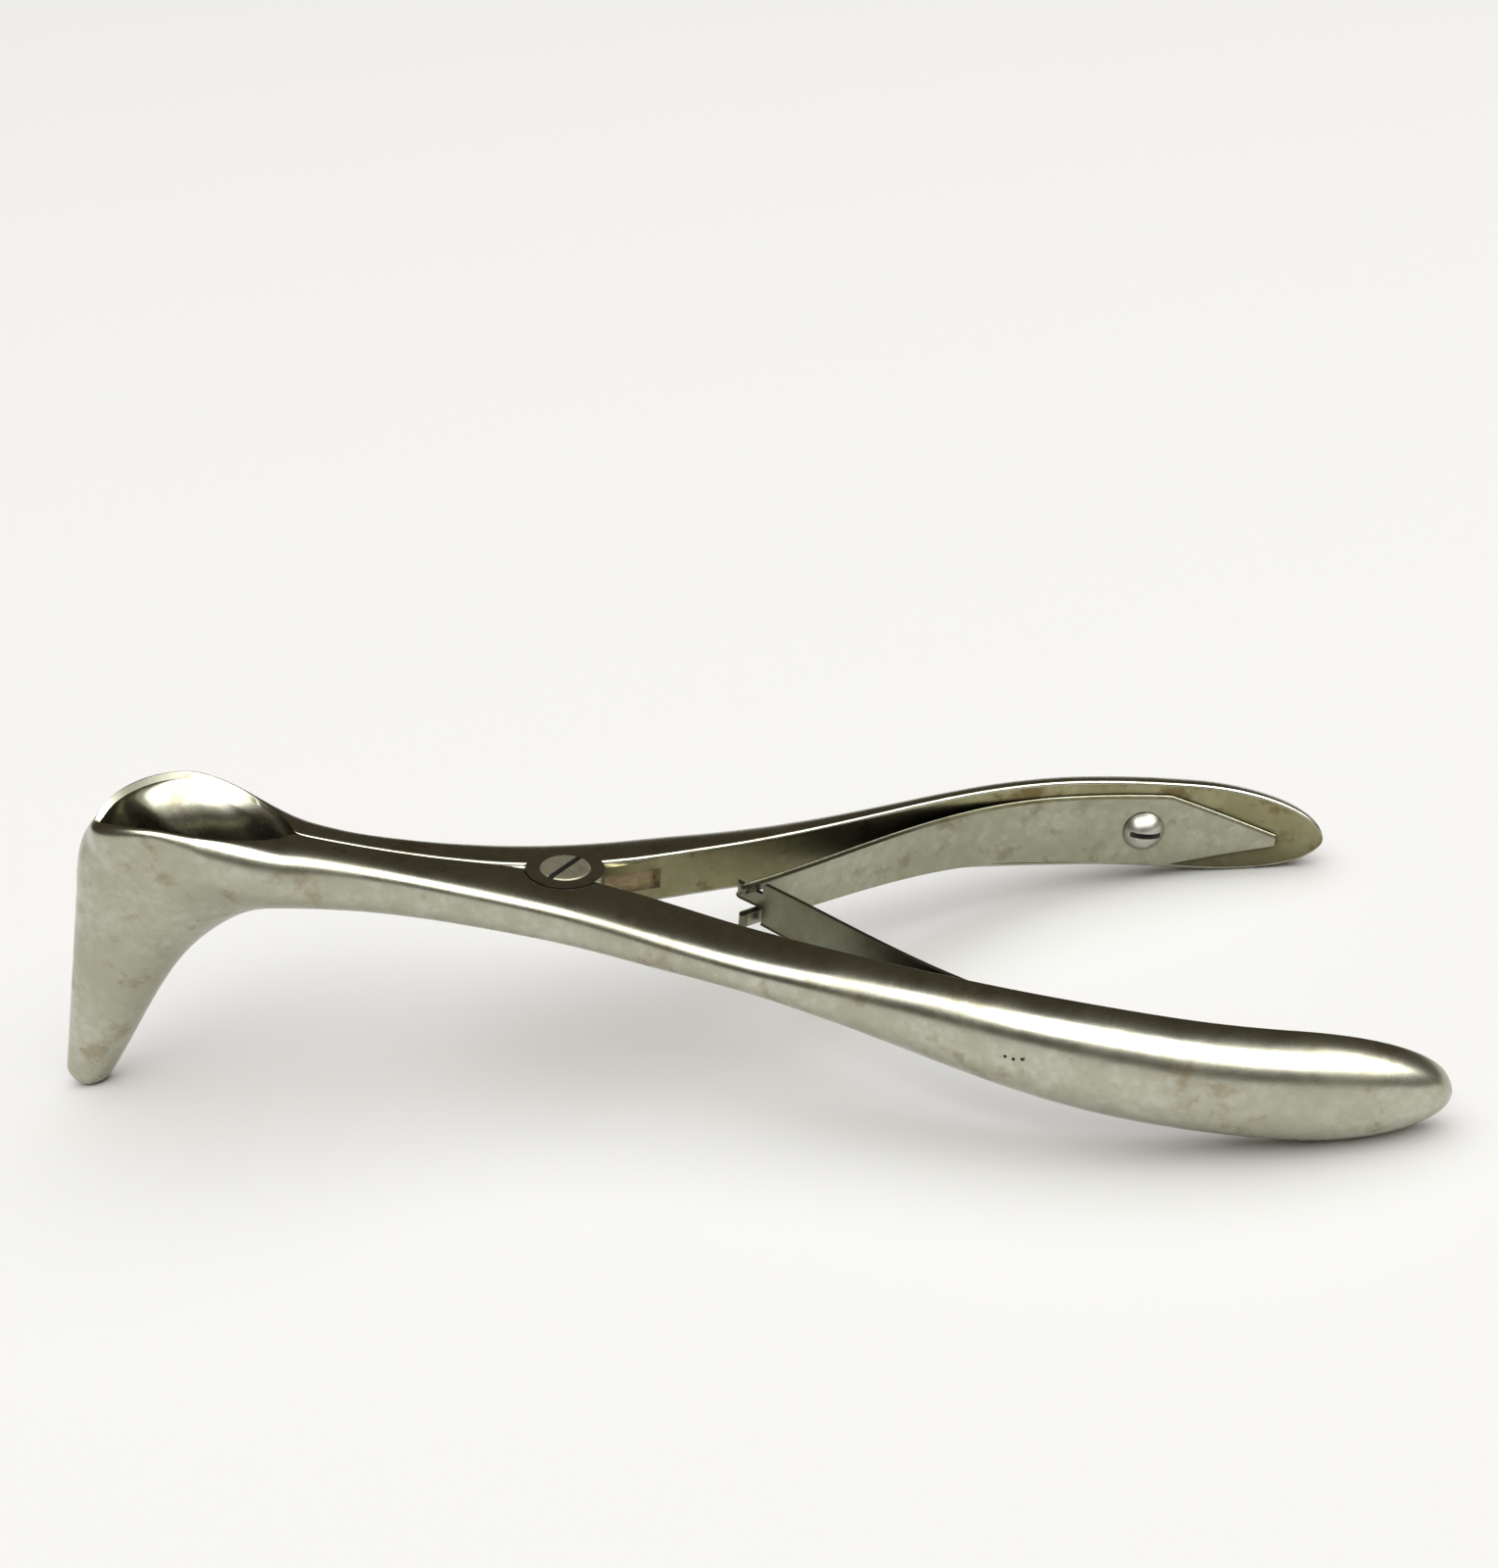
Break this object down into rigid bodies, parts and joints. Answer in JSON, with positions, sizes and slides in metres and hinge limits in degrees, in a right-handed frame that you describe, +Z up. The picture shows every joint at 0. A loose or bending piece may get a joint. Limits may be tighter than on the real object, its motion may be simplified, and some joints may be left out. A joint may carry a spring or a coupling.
{
  "type": "nasal speculum",
  "caption": "Nasal speculum: screw-jointed sprung handles that open a long downward two-blade beak with a funnel mouth.",
  "frame": {"origin": "centre of the bounding box in plan, on the surface that the closed instrument stands on", "axes": "+X from the beak to the handles, +Y from the near arm to the far arm, +Z up"},
  "size_m": [0.1522, 0.0638, 0.0359],
  "materials": {
    "satin_steel": "satin, tarnished",
    "spring_steel": "satin, olive tarnish",
    "screw_steel": "polished"
  },
  "bodies": {
    "near_half": {"near_arm": "satin_steel", "near_spring": "spring_steel", "near_spring_screw": "screw_steel"},
    "far_half": {"far_arm": "satin_steel", "far_spring": "spring_steel", "far_spring_screw": "screw_steel", "pivot_screw": "screw_steel"}
  },
  "joints": [
    {"name": "pivot", "type": "hinge", "parent": "near_half", "child": "far_half", "pos_m": [-0.01332, 0, 0.01967], "axis": [-0.1766, 0, -0.9843], "range_deg": [0, 28], "stiffness_Nm_per_rad": 1, "springref_deg": -11.46, "deforming": ["near_spring", "far_spring"]}
  ]
}
